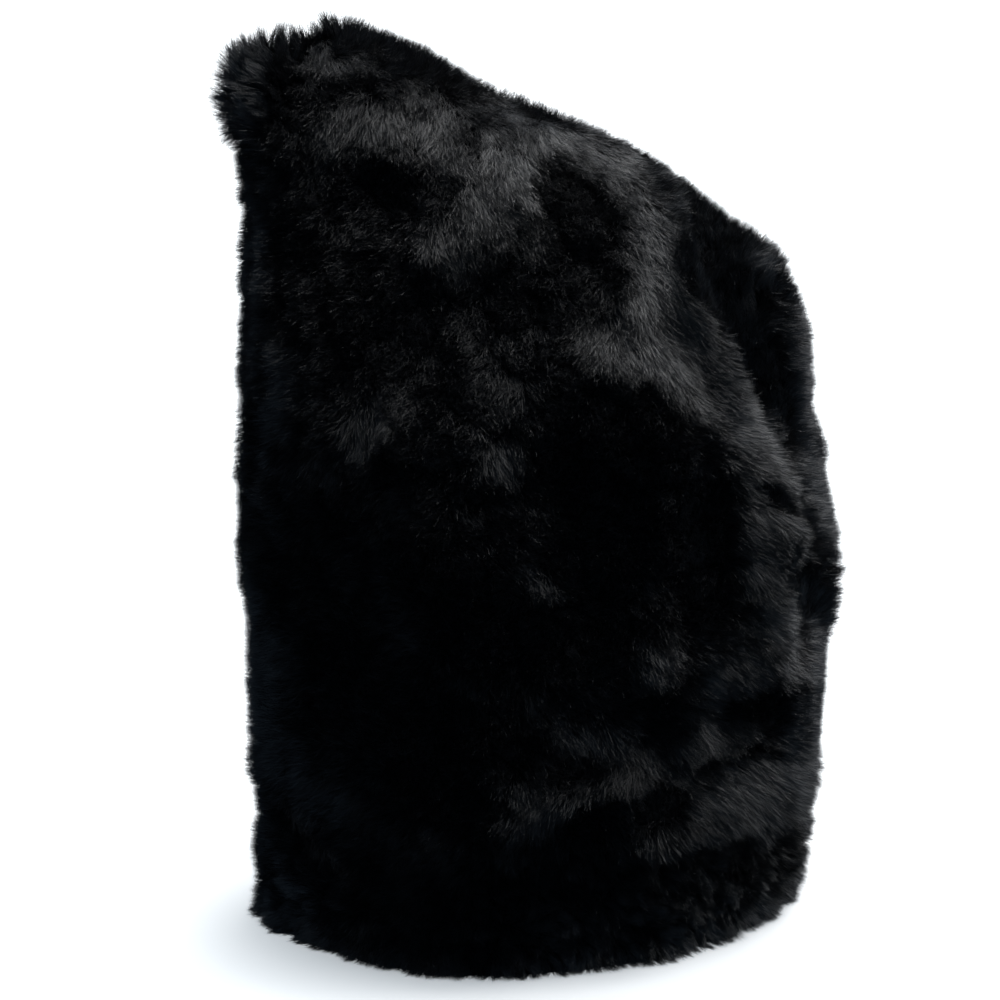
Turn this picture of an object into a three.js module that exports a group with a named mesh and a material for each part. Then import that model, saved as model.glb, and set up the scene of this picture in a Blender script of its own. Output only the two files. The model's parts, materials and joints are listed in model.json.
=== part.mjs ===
// A tall brimless hat of deep black plush, standing on its hem. Millimetres,
// +Z up, the tall peak at -X and the low end at +X, the near side facing -Y.
import * as THREE from "three";

// The named sizes.
const hat = {
  length: 250, // along X at the widest, tufts left aside
  depth: 192, // along Y at the widest, folds left aside
  height: 373, // hem to peak, to the tips of the pile
  wall: 12.5, // cloth and pile together
  gap: 0.3, // between neighbouring pieces
  bandHeight: 50, // hem to the fold where the crown begins
  slump: 4, // how far the crown bulges over the band
  tuck: 1.3, // how far both draw in at the fold between them
  ripple: 1.6, // the gentle unevenness of the cloth
  lockLift: 4.8, // how far a lock's tip stands off the one below
  tuft: 6, // how far the tallest tuft stands out at the outline
  splay: 2.4, // how far the pile splays on the floor at the hem
};

// How the surface is divided: columns over each crown panel, rows up the crown
// and up the band, and how many columns and rows one lock of pile takes.
const count = { panelColumns: 44, crownRows: 36, bandRows: 8, lockColumns: 4, lockRows: 4 };

// How far a lock's point hangs down, as a share of a row.
const dropShare = 0.78;

// Sections from hem to top seam. share: of the way up. xLeft and xRight: where
// it meets the two ends, as shares of the length from the middle; zLeft and
// zRight: how high, as shares of the height. depth: of half the depth; thick:
// walls between outside and hollow; left and right: how sharp each end is, 1
// for an ellipse; skew: how far the low end lies back and the high end forward,
// of half the depth; bow: how much of the ridge's hump it has.
const sections = [
  { share: 0, xLeft: -0.452, xRight: 0.452, zLeft: 0, zRight: 0, depth: 0.938, thick: 1, left: 1.5, right: 1, skew: 0.167, bow: 0 },
  { share: 0.07, xLeft: -0.45, xRight: 0.476, zLeft: 0.067, zRight: 0.0563, depth: 0.958, thick: 1, left: 1.42, right: 1, skew: 0.167, bow: 0 },
  { share: 0.14, xLeft: -0.442, xRight: 0.48, zLeft: 0.1314, zRight: 0.1099, depth: 0.958, thick: 1, left: 1.34, right: 0.98, skew: 0.177, bow: 0 },
  { share: 0.25, xLeft: -0.458, xRight: 0.492, zLeft: 0.2359, zRight: 0.1957, depth: 0.99, thick: 1, left: 1.25, right: 0.96, skew: 0.167, bow: 0.01 },
  { share: 0.37, xLeft: -0.458, xRight: 0.504, zLeft: 0.3512, zRight: 0.2895, depth: 1, thick: 1, left: 1.22, right: 0.94, skew: 0.156, bow: 0.03 },
  { share: 0.47, xLeft: -0.47, xRight: 0.516, zLeft: 0.4477, zRight: 0.37, depth: 0.99, thick: 1, left: 1.2, right: 0.93, skew: 0.146, bow: 0.07 },
  { share: 0.6, xLeft: -0.468, xRight: 0.492, zLeft: 0.5684, zRight: 0.4772, depth: 0.948, thick: 1, left: 1.2, right: 0.92, skew: 0.115, bow: 0.16 },
  { share: 0.7, xLeft: -0.464, xRight: 0.468, zLeft: 0.6676, zRight: 0.5523, depth: 0.875, thick: 1.04, left: 1.2, right: 0.92, skew: 0.094, bow: 0.27 },
  { share: 0.78, xLeft: -0.462, xRight: 0.46, zLeft: 0.748, zRight: 0.6113, depth: 0.781, thick: 1.08, left: 1.18, right: 0.92, skew: 0.073, bow: 0.39 },
  { share: 0.85, xLeft: -0.464, xRight: 0.444, zLeft: 0.8177, zRight: 0.6595, depth: 0.667, thick: 1.12, left: 1.15, right: 0.94, skew: 0.052, bow: 0.53 },
  { share: 0.9, xLeft: -0.474, xRight: 0.426, zLeft: 0.8633, zRight: 0.7024, depth: 0.542, thick: 1.12, left: 1.1, right: 0.96, skew: 0.031, bow: 0.65 },
  { share: 0.94, xLeft: -0.488, xRight: 0.396, zLeft: 0.9008, zRight: 0.7373, depth: 0.417, thick: 1.12, left: 1.06, right: 0.98, skew: 0.021, bow: 0.77 },
  { share: 0.97, xLeft: -0.486, xRight: 0.36, zLeft: 0.9303, zRight: 0.7668, depth: 0.292, thick: 1.04, left: 1.02, right: 1, skew: 0.01, bow: 0.87 },
  { share: 0.99, xLeft: -0.474, xRight: 0.316, zLeft: 0.9517, zRight: 0.7936, depth: 0.167, thick: 0.8, left: 1, right: 1, skew: 0.003, bow: 0.95 },
  { share: 1, xLeft: -0.46, xRight: 0.272, zLeft: 0.9625, zRight: 0.8177, depth: 0, thick: 0, left: 1, right: 1, skew: 0, bow: 1 },
];

// The hump of the slanted top seam over its own chord. along: share of the way
// from the peak's end to the low end; rise: as a share of the hat's height.
const ridge = [
  { along: 0, rise: 0 },
  { along: 0.053, rise: 0.02 },
  { along: 0.129, rise: 0.035 },
  { along: 0.173, rise: 0.056 },
  { along: 0.216, rise: 0.069 },
  { along: 0.303, rise: 0.071 },
  { along: 0.389, rise: 0.068 },
  { along: 0.454, rise: 0.06 },
  { along: 0.562, rise: 0.048 },
  { along: 0.737, rise: 0.038 },
  { along: 0.825, rise: 0.033 },
  { along: 0.912, rise: 0.02 },
  { along: 1, rise: 0 },
];

// The valley in which the seam runs up the low end. share: of the way up;
// turn: degrees that the seam lies round on the near side; sink: its depth as
// a share of the hat's length.
const valley = [
  { share: 0, turn: 6, sink: 0 },
  { share: 0.14, turn: 9, sink: 0.006 },
  { share: 0.25, turn: 11, sink: 0.006 },
  { share: 0.37, turn: 13, sink: 0.008 },
  { share: 0.47, turn: 16, sink: 0.015 },
  { share: 0.54, turn: 19, sink: 0.04 },
  { share: 0.6, turn: 22, sink: 0.066 },
  { share: 0.68, turn: 27, sink: 0.088 },
  { share: 0.75, turn: 32, sink: 0.1 },
  { share: 0.82, turn: 36, sink: 0.098 },
  { share: 0.9, turn: 38, sink: 0.074 },
  { share: 0.95, turn: 37, sink: 0.046 },
  { share: 0.975, turn: 30, sink: 0.024 },
  { share: 0.99, turn: 17, sink: 0.008 },
  { share: 1, turn: 0, sink: 0 },
];

// Folds and dents of the soft cloth. Each runs along a path on one side; x is a
// share of the length from the middle, z a share of the height; wide and lift
// are shares of the length, lift negative where the cloth sinks.
const folds = [
  { name: "lobe edge beside the valley", side: "near", wide: 0.05, lift: 0.036,
    path: [[0.235, 0.79], [0.26, 0.745], [0.32, 0.68], [0.4, 0.574], [0.445, 0.5]] },
  { name: "far lobe beyond the valley", side: "far", wide: 0.09, lift: 0.02,
    path: [[0.37, 0.72], [0.42, 0.62], [0.46, 0.48]] },
  { name: "pocket in the low end", side: "near", wide: 0.05, lift: -0.05,
    path: [[0.462, 0.385], [0.466, 0.34]] },
  { name: "lip beyond the pocket", side: "far", wide: 0.05, lift: 0.016,
    path: [[0.49, 0.4], [0.49, 0.35]] },
  { name: "swelling over the pocket", side: "near", wide: 0.09, lift: 0.03,
    path: [[0.41, 0.48], [0.43, 0.43]] },
  { name: "swelling under the pocket", side: "near", wide: 0.08, lift: 0.014,
    path: [[0.42, 0.28], [0.44, 0.22]] },
  { name: "near lobe", side: "near", wide: 0.16, lift: 0.036,
    path: [[0.18, 0.7], [0.26, 0.61]] },
  { name: "crease inside the lobe edge", side: "near", wide: 0.03, lift: -0.024,
    path: [[0.225, 0.7], [0.29, 0.623]] },
  { name: "swelling from the top seam", side: "near", wide: 0.07, lift: 0.03,
    path: [[0.02, 0.875], [-0.08, 0.81], [-0.158, 0.778]] },
  { name: "dent under the peak", side: "near", wide: 0.11, lift: -0.038,
    path: [[-0.25, 0.835], [-0.22, 0.82]] },
  { name: "dent beside it", side: "near", wide: 0.11, lift: -0.04,
    path: [[-0.07, 0.742], [0.05, 0.73]] },
  { name: "swelling at the high end", side: "near", wide: 0.11, lift: 0.022,
    path: [[-0.33, 0.67], [-0.3, 0.56]] },
  { name: "dent in the middle", side: "near", wide: 0.13, lift: -0.024,
    path: [[0.05, 0.52], [0.1, 0.43]] },
  { name: "swelling in the middle", side: "near", wide: 0.13, lift: 0.02,
    path: [[-0.13, 0.56], [-0.12, 0.47]] },
  { name: "broad dent low on the high end", side: "near", wide: 0.15, lift: -0.02,
    path: [[-0.27, 0.38], [-0.2, 0.3]] },
  { name: "crease low on the low end", side: "near", wide: 0.032, lift: -0.032,
    path: [[0.22, 0.232], [0.3, 0.25], [0.38, 0.28]] },
  { name: "short crease beside it", side: "near", wide: 0.03, lift: -0.024,
    path: [[0.05, 0.25], [0.17, 0.255], [0.2, 0.28]] },
  { name: "hanging tongue of the slump", side: "near", wide: 0.045, lift: 0.03,
    path: [[-0.036, 0.184], [0.09, 0.223], [0.168, 0.218], [0.185, 0.16]] },
  { name: "slump roll at the low end", side: "near", wide: 0.05, lift: 0.024,
    path: [[0.25, 0.165], [0.34, 0.175], [0.43, 0.18]] },
  { name: "groove down the high end", side: "near", wide: 0.035, lift: -0.013,
    path: [[-0.45, 0.86], [-0.45, 0.75], [-0.43, 0.56]] },
  { name: "crease across the band", side: "near", wide: 0.028, lift: -0.026,
    path: [[-0.417, 0.146], [-0.36, 0.11], [-0.304, 0.08]] },
  { name: "far dent by the top seam", side: "far", wide: 0.14, lift: -0.03,
    path: [[-0.1, 0.78], [0.02, 0.74]] },
  { name: "far swelling", side: "far", wide: 0.16, lift: 0.024,
    path: [[-0.24, 0.6], [-0.2, 0.5]] },
  { name: "far crease from the valley", side: "far", wide: 0.045, lift: -0.03,
    path: [[0.34, 0.42], [0.2, 0.36], [0.06, 0.34]] },
  { name: "far slump roll", side: "far", wide: 0.06, lift: 0.024,
    path: [[-0.2, 0.19], [0, 0.2], [0.2, 0.18]] },
  { name: "far broad dent", side: "far", wide: 0.15, lift: -0.022,
    path: [[-0.05, 0.4], [0.02, 0.3]] },
];

// Where the pile stands up in tufts at the outline. along: share of the way
// round the seam line, 0 at the hem of the high end, 1 at the peak's corner,
// 2 at the other end of the top seam and 3 back at the hem; lift: a share of
// the tallest tuft.
const tufts = [
  { along: 0, lift: 0.08 },
  { along: 0.84, lift: 0.17 },
  { along: 0.93, lift: 1 },
  { along: 1.0, lift: 0.75 },
  { along: 1.13, lift: 0.83 },
  { along: 1.2, lift: 0.58 },
  { along: 1.35, lift: 0.2 },
  { along: 1.9, lift: 0.33 },
  { along: 2.05, lift: 0.67 },
  { along: 2.2, lift: 0.25 },
  { along: 3, lift: 0.25 },
];

// A column of a table at a given place, eased between the rows.
function read(table, key, at, column) {
  let k = 0;
  while (k < table.length - 2 && at > table[k + 1][key]) k += 1;
  const [p, q] = [table[k], table[k + 1]];
  const before = table[Math.max(k - 1, 0)];
  const after = table[Math.min(k + 2, table.length - 1)];
  const span = q[key] - p[key];
  const w = Math.min(Math.max((at - p[key]) / span, 0), 1);
  const slopeIn = ((q[column] - before[column]) / (q[key] - before[key])) * span;
  const slopeOut = ((after[column] - p[column]) / (after[key] - p[key])) * span;
  const [w2, w3] = [w * w, w * w * w];
  return (
    p[column] * (2 * w3 - 3 * w2 + 1) +
    q[column] * (3 * w2 - 2 * w3) +
    slopeIn * (w3 - 2 * w2 + w) +
    slopeOut * (w3 - w2)
  );
}

// Steady jitter from -1 to 1 for a pair of whole numbers.
function jitter(i, j, seed = 0) {
  let h = Math.imul(i + 97 * seed + 131, 374761393) ^ Math.imul(j + 517, 668265263);
  h = Math.imul(h ^ (h >>> 13), 1274126177);
  return (((h ^ (h >>> 16)) >>> 0) / 4294967295) * 2 - 1;
}

const bump = (d, wide) => Math.exp(-((d / wide) ** 2));
const ramp = (v, from, to) => {
  const w = Math.min(Math.max((v - from) / (to - from), 0), 1);
  return w * w * (3 - 2 * w);
};

// The plain form: turn runs from the high end's seam over the near side to the
// low end (half a turn) and back over the far side; share from hem to ridge.
// The hollow is the same form drawn in by the wall.
function form(turn, share, hollow = false) {
  const s = (column) => read(sections, "share", share, column);
  const along = (1 - Math.cos(turn)) / 2;
  const side = Math.sin(turn);
  const inset = hollow ? hat.wall : 0;
  const [xl, xr] = [s("xLeft") * hat.length + inset, s("xRight") * hat.length - inset];
  const rise = read(ridge, "along", along, "rise") * hat.height * s("bow");
  const z = (s("zLeft") + (s("zRight") - s("zLeft")) * along) * hat.height + rise;
  const sharp = s("left") + (s("right") - s("left")) * ramp(along, 0.3, 0.7);
  const half = hat.depth / 2;
  const depth = Math.max(s("depth") * half - inset * s("thick"), 0);
  return new THREE.Vector3(
    xl + (xr - xl) * along,
    -Math.sign(side) * depth * Math.abs(side) ** sharp + s("skew") * half * (2 * along - 1),
    z - inset * share * share,
  );
}

// The way out of the surface at a place on the plain form.
function outward(turn, share) {
  const [da, ds] = [0.02, 0.01];
  const high = Math.min(share, 0.985);
  const round = form(turn + da, high).sub(form(turn - da, high));
  const up = form(turn, Math.min(high + ds, 1)).sub(form(turn, Math.max(high - ds, 0)));
  const out = round.cross(up).normalize();
  if (share > 0.93) {
    const flat = new THREE.Vector3(out.x, 0, Math.max(out.z, 0.2)).normalize();
    out.lerp(flat, ramp(share, 0.93, 1)).normalize();
  }
  return out;
}

// The way round the hat from the near side to the far, at a place.
function across(turn, share) {
  return form(turn + 0.04, share).sub(form(turn - 0.04, share)).normalize();
}

// The seam's turn at the low end.
const seamTurn = (share) => Math.PI - (read(valley, "share", share, "turn") * Math.PI) / 180;

// A place on the plain form from its x and z, on one side of the hat.
function place(x, z, side) {
  let [share, turn] = [z / hat.height, Math.PI / 2];
  for (let k = 0; k < 40; k += 1) {
    const xl = read(sections, "share", share, "xLeft") * hat.length;
    const xr = read(sections, "share", share, "xRight") * hat.length;
    const along = Math.min(Math.max((x - xl) / (xr - xl), 0), 1);
    turn = Math.acos(1 - 2 * along);
    share = Math.min(Math.max(share + ((z - form(turn, share).z) / hat.height) * 0.8, 0), 1);
  }
  return form(side === "near" ? turn : 2 * Math.PI - turn, share);
}

const creases = folds.map((fold) => ({
  ...fold,
  points: fold.path.map(([x, z]) => place(x * hat.length, z * hat.height, fold.side)),
}));

function toPath(point, path) {
  let best = Infinity;
  const line = new THREE.Line3();
  const near = new THREE.Vector3();
  for (let k = 0; k + 1 < path.length; k += 1) {
    line.set(path[k], path[k + 1]).closestPointToPoint(point, true, near);
    best = Math.min(best, near.distanceTo(point));
  }
  return best;
}

// How far the cloth is pushed out or in at a place, locks left aside.
function folded(turn, share) {
  const point = form(turn, share);
  let lift = 0;
  for (const crease of creases) {
    lift += crease.lift * hat.length * bump(toPath(point, crease.points), crease.wide * hat.length);
  }
  const sink = read(valley, "share", share, "sink") * hat.length;
  const seam = form(seamTurn(share), share);
  const away = Math.hypot(point.x - seam.x, point.y - seam.y, (point.z - seam.z) * 0.6);
  const wide = (turn < seamTurn(share) ? 0.044 : 0.068) + 0.016 * share;
  lift -= sink * bump(away, wide * hat.length);
  lift += hat.ripple * Math.sin(turn * 5 + share * 9) * Math.sin(share * 13 - turn * 2) * ramp(share, 0, 0.1);
  return lift;
}

// The fold line between band and crown, as a share of the way up.
function foldLine(turn) {
  const wave = 0.006 * Math.sin(turn * 3 + 0.6) + 0.004 * Math.sin(turn * 7 + 2);
  return hat.bandHeight / (0.957 * hat.height) + wave;
}

// One lock of pile in units of grid steps: its lift and the drop of its tip.
// Locks lie in staggered rows, each tip standing over the roots below.
function lock(i, j) {
  const row = Math.floor(j / count.lockRows);
  const up = (j - row * count.lockRows) / count.lockRows;
  const shift = row % 2 ? count.lockColumns / 2 : 0;
  const column = Math.floor((i + shift) / count.lockColumns);
  const across = ((i + shift - column * count.lockColumns) / count.lockColumns) * 2 - 1;
  const size = 1 + 0.35 * jitter(column, row);
  const point = Math.cos((across * Math.PI) / 2) ** 0.8;
  const width = 1 - (1 - point) * (1 - 0.55 * up);
  return { lift: size * width * (1 - up) ** 0.8, drop: up === 0 ? point * (0.85 + 0.15 * jitter(column, row, 2)) : 0 };
}

// A point of the outside: plain form, folds, slump over the band, then pile.
// step: the share of the way up that the row below lies lower.
function outside(turn, share, i, j, step, crown) {
  const line = foldLine(turn);
  const mark = lock(i, j);
  const edge = crown ? ramp(share, line, line + 0.03) : 1 - ramp(share, line - 0.03, line);
  const drop = mark.drop * dropShare * step * edge;
  const at = share - (share > 0.02 ? drop : 0);
  const out = outward(turn, at);
  const slump = crown
    ? hat.slump * Math.exp(-(((share - line - 0.022) / 0.03) ** 2)) * edge - hat.tuck * (1 - edge)
    : -hat.tuck * (1 - edge) + 0.5 * hat.splay * Math.exp(-((share / 0.03) ** 2));
  const topFade = 1 - 0.6 * ramp(share, 0.93, 1);
  const lift = folded(turn, at) + slump + (mark.lift - 0.45) * hat.lockLift * edge * topFade;
  return form(turn, at).addScaledVector(out, lift);
}

function inside(turn, share) {
  const high = Math.min(share, 0.97);
  const fade = 1 - 0.7 * ramp(share, 0.8, 1);
  return form(turn, share, true).addScaledVector(outward(turn, high), folded(turn, share) * fade);
}

// Tufts along the seam line, every other point of the outline standing out.
function tuft(place3, k) {
  const lift = read(tufts, "along", place3, "lift") * hat.tuft;
  return lift * (k % 2 ? 0.75 + 0.35 * jitter(k, 3) : -0.2 + 0.25 * jitter(k, 5));
}

// A closed mesh from an outer and an inner grid of the same outline, the inner
// at half as many steps; ring: the grid closes on itself round the hat.
function shell(name, outer, inner, ring, material) {
  const points = [];
  const faces = [];
  const add = (p) => points.push(p.x, p.y, p.z) / 3 - 1;
  const number = (rows) => rows.map((row) => row.map(add));
  const [o, n] = [number(outer), number(inner)];
  const apart = (a, b) =>
    Math.hypot(...[0, 1, 2].map((k) => points[3 * a + k] - points[3 * b + k]));
  const quad = (a, b, c, d) => {
    if (apart(a, c) <= apart(b, d)) faces.push(a, b, c, a, c, d);
    else faces.push(a, b, d, b, c, d);
  };
  const cover = (g, flip) => {
    const columns = g[0].length;
    for (let j = 0; j + 1 < g.length; j += 1) {
      for (let i = 0; i < (ring ? columns : columns - 1); i += 1) {
        const e = (i + 1) % columns;
        if (flip) quad(g[j][e], g[j][i], g[j + 1][i], g[j + 1][e]);
        else quad(g[j][i], g[j][e], g[j + 1][e], g[j + 1][i]);
      }
    }
  };
  cover(o, false);
  cover(n, true);
  // The rim: each step of the inner edge meets two of the outer.
  const rim = (a, b) => {
    for (let k = 0; k < b.length; k += 1) {
      const next = b[(k + 1) % b.length];
      const [p, q, r] = [a[2 * k], a[2 * k + 1], a[(2 * k + 2) % a.length]];
      faces.push(q, p, b[k], q, b[k], next, r, q, next);
    }
  };
  const last = (g) => g[g.length - 1];
  if (ring) {
    rim(o[0], n[0]);
    const turned = (row) => [row[0], ...row.slice(1).reverse()];
    rim(turned(last(o)), turned(last(n)));
  } else {
    const loop = (g) => [
      ...g[0].slice(0, -1),
      ...g.slice(0, -1).map((row) => last(row)),
      ...last(g).slice(1).reverse(),
      ...g.slice(1).map((row) => row[0]).reverse(),
    ];
    rim(loop(o), loop(n));
  }
  const geometry = new THREE.BufferGeometry();
  geometry.setAttribute("position", new THREE.Float32BufferAttribute(points, 3));
  geometry.setIndex(faces);
  const mesh = new THREE.Mesh(geometry, material);
  mesh.name = name;
  return mesh;
}

// The turn of column i over the near panel (i from 0 to count.panelColumns) or, past
// it, over the far one.
function turnOf(i, share) {
  const seam = seamTurn(share);
  const n = count.panelColumns;
  return i <= n ? (seam * i) / n : seam + ((2 * Math.PI - seam) * (i - n)) / n;
}

// The share of crown row j: rows crowd together towards the top seam.
const crownShare = (j, line) => line + (1 - line) * (1 - (1 - j / count.crownRows) ** 1.55);

const half = hat.gap / 2;

// One crown panel: side 0 near, 1 far.
function crownPanel(name, side, material) {
  const [outer, inner] = [[], []];
  const n = count.panelColumns;
  for (let j = 0; j <= count.crownRows; j += 1) {
    const [rowOut, rowIn] = [[], []];
    for (let k = 0; k <= n; k += 1) {
      const i = side * n + k;
      // Turn and share depend a little on each other through the seam's path,
      // and away from the edges the rows of locks wander.
      let share = crownShare(j, foldLine(turnOf(i, 0.15)));
      let turn = turnOf(i, share);
      share = crownShare(j, foldLine(turn));
      const step = j ? share - crownShare(j - 1, foldLine(turn)) : 0;
      const up = j / count.crownRows;
      const free = Math.sin((Math.PI * k) / n) * ramp(up, 0, 0.11) * (1 - ramp(up, 0.78, 0.97));
      turn += 0.05 * Math.sin(share * 19 + turn * 1.5 + side) * free;
      share += 0.014 * Math.sin(turn * 5 + share * 8 + 2 * side) * free;
      const onTop = j === count.crownRows;
      const onHigh = i === 0 || i === 2 * n;
      const onLow = i === n;
      // Both panels share the seam line, so they read it from one place.
      const seamTurnHere = onHigh ? 0 : turn;
      let p;
      if (onTop) {
        const mirrored = side ? 2 * Math.PI - turn : turn;
        p = form(mirrored, 1);
        const along = side ? n - k : k;
        const out = outward(mirrored, 1);
        p.addScaledVector(out, tuft(1 + along / n, along));
        p.y = 0;
      } else {
        p = outside(seamTurnHere, share, onHigh ? 0 : i, j, step, true);
        if (onHigh) p.x -= tuft(up ** 1.2, j) * ramp(share, 0.16, 0.2);
        if (onLow) p.addScaledVector(outward(turn, share), tuft(3 - up, j) * ramp(share, 0.16, 0.2));
      }
      // The two panels stand apart across the seam, half the gap each.
      const seam = onTop || onHigh || onLow;
      const aside = onLow && !onTop ? across(turn, share) : new THREE.Vector3(0, 1, 0);
      aside.multiplyScalar(side ? half : -half);
      if (seam) p.add(aside);
      if (j === 0) p.z += half;
      rowOut.push(p);
      if (j % 2 === 0 && k % 2 === 0) {
        const q = inside(seamTurnHere, share);
        if (onTop) q.y = 0;
        if (seam) q.add(aside);
        if (j === 0) q.z += half;
        rowIn.push(q);
      }
    }
    outer.push(rowOut);
    if (j % 2 === 0) inner.push(rowIn);
  }
  return shell(name, outer, inner, false, material);
}

// The band round the head opening, flat underneath.
function headband(name, material) {
  const [outer, inner] = [[], []];
  const n = 2 * count.panelColumns;
  for (let j = 0; j <= count.bandRows; j += 1) {
    const [rowOut, rowIn] = [[], []];
    for (let i = 0; i < n; i += 1) {
      let turn = turnOf(i, 0);
      let line = foldLine(turn);
      for (let k = 0; k < 3; k += 1) {
        const share = (line * j) / count.bandRows;
        turn = j === count.bandRows ? turnOf(i, crownShare(0, foldLine(turnOf(i, 0.15)))) : turnOf(i, share);
        line = foldLine(turn);
      }
      const share = (line * j) / count.bandRows;
      const top = j === count.bandRows;
      const row = top ? 0 : j;
      const p = outside(turn, share, i, row, line / count.bandRows, false);
      const q = inside(turn, share);
      if (j === 0) {
        // The pile at the hem splays on the floor in small tufts.
        const out = outward(turn, 0).setZ(0).normalize();
        p.addScaledVector(out, hat.splay * (i % 2 ? 1 + 0.6 * jitter(i, 11) : 0.1 + 0.25 * jitter(i, 12)));
        p.z = 0;
        q.z = 0;
      }
      if (top) {
        p.z -= half;
        q.z -= half;
      }
      rowOut.push(p);
      if (j % 2 === 0 && i % 2 === 0) rowIn.push(q);
    }
    outer.push(rowOut);
    if (j % 2 === 0) inner.push(rowIn);
  }
  return shell(name, outer, inner, true, material);
}

const plush = () => new THREE.MeshStandardMaterial({ color: 0x0b0b0d, roughness: 0.9 });

const group = new THREE.Group();
group.name = "faux_fur_hat";
group.add(crownPanel("left_crown_panel", 0, plush()));
group.add(crownPanel("right_crown_panel", 1, plush()));
group.add(headband("headband", plush()));

// The hem's middle is the origin.
const box = new THREE.Box3().setFromObject(group);
const middle = box.getCenter(new THREE.Vector3());
for (const mesh of group.children) {
  mesh.geometry.translate(-middle.x, -middle.y, -box.min.z);
}

export default group;
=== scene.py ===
"""A tall brimless hat of deep black plush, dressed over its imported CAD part.

Each panel of the hat becomes a closed cloth shell, cut back from the solid to
where the pile is rooted, and a coat of joined strands whose tips come back out
to the solid's own surface. How the pile lies, where it was brushed up and where
it was pressed flat, is one table of strokes.
"""

import json
import logging
import math
from dataclasses import dataclass, field
from enum import Enum, IntEnum

import bmesh
import bpy
import numpy as np
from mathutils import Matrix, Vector
from mathutils.bvhtree import BVHTree
from mathutils.kdtree import KDTree

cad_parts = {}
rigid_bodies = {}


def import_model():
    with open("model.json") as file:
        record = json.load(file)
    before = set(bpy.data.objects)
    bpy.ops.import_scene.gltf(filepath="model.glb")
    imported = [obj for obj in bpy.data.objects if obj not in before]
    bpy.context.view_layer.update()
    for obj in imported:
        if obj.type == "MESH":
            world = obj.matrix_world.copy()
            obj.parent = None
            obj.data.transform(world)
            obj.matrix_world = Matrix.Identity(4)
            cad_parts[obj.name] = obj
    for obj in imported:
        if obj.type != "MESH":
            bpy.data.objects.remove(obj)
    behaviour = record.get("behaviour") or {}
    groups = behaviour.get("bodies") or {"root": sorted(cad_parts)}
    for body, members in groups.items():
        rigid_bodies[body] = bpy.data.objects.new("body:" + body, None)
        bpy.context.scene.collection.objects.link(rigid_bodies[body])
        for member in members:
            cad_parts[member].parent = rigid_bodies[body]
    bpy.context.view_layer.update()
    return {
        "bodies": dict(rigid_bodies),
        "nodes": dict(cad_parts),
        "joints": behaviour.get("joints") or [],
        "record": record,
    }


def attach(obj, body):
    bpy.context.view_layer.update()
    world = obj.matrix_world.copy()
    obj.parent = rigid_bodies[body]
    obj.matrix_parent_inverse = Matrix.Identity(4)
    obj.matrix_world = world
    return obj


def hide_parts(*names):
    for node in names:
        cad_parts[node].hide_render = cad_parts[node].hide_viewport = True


log = logging.getLogger("hat")
MM = 0.001
# Points nearer than this, in metres, are one point.
SAME = 1e-6
# A vector shorter than this has no direction.
TINY = 1e-12

# What stirs a whole-numbered cell into 32 bits that look random.
BITS = 0xFFFFFFFF
STIR_AXES = (0x9E3779B1, 0x85EBCA77, 0xC2B2AE3D)
STIR_SEED = 0x27D4EB2F
STIR_TURN = 0x165667B1
STIR_STEPS = ((15, 0x2C1B3C6D), (12, 0x297A2D39))
STIR_LAST = 15
# Added to places before they are cut into cells, so that no cell is negative.
CELL_OFFSET = 1000.0
# How far from its cell's middle a tuft may stand, in cells.
TUFT_PLAY = 0.45

Pair = tuple[float, float]
Triple = tuple[float, float, float]


class Seed(IntEnum):
    """Which of the noises that are the same on every run is meant."""

    WANDER = 5
    TUFT = 11
    FRAY_WIDE = 17
    FRAY_FINE = 19
    RUFFLE = 23
    LOCK = 31
    UNEVEN = 41


def added(name: str, data: bpy.types.ID) -> bpy.types.Object:
    """Makes an object and links it to the scene.

    Args:
        name: its name.
        data: its mesh, light or camera.

    Returns:
        The object.
    """
    made = bpy.data.objects.new(name, data)
    bpy.context.scene.collection.objects.link(made)
    return made


class Side(Enum):
    """Which broad side of the hat a stroke of the hand was made on."""

    NEAR = -1
    FAR = 1


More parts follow.
